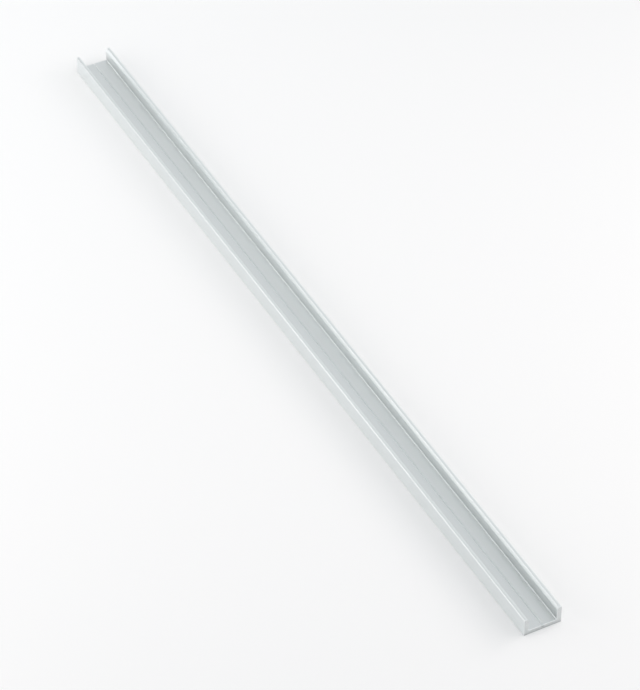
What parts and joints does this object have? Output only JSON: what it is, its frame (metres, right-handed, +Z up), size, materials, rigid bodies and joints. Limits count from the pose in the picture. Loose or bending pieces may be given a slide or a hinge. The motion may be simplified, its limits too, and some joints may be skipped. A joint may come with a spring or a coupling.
{
  "type": "aluminium u-channel extrusion",
  "caption": "Straight aluminium U-channel extrusion with square-sawn ends, bevelled flange tips and a fine centre groove along its floor; guides a bar or holds a strip.",
  "frame": {"origin": "middle of the underside of the web, halfway along the length", "axes": "+X along the length, +Y across the web, +Z up out of the open side"},
  "size_m": [0.6096, 0.0254, 0.0127],
  "materials": {
    "aluminium": "satin, as extruded, with fine die lines along the length"
  },
  "bodies": {
    "root": {"channel": "aluminium"}
  },
  "joints": []
}
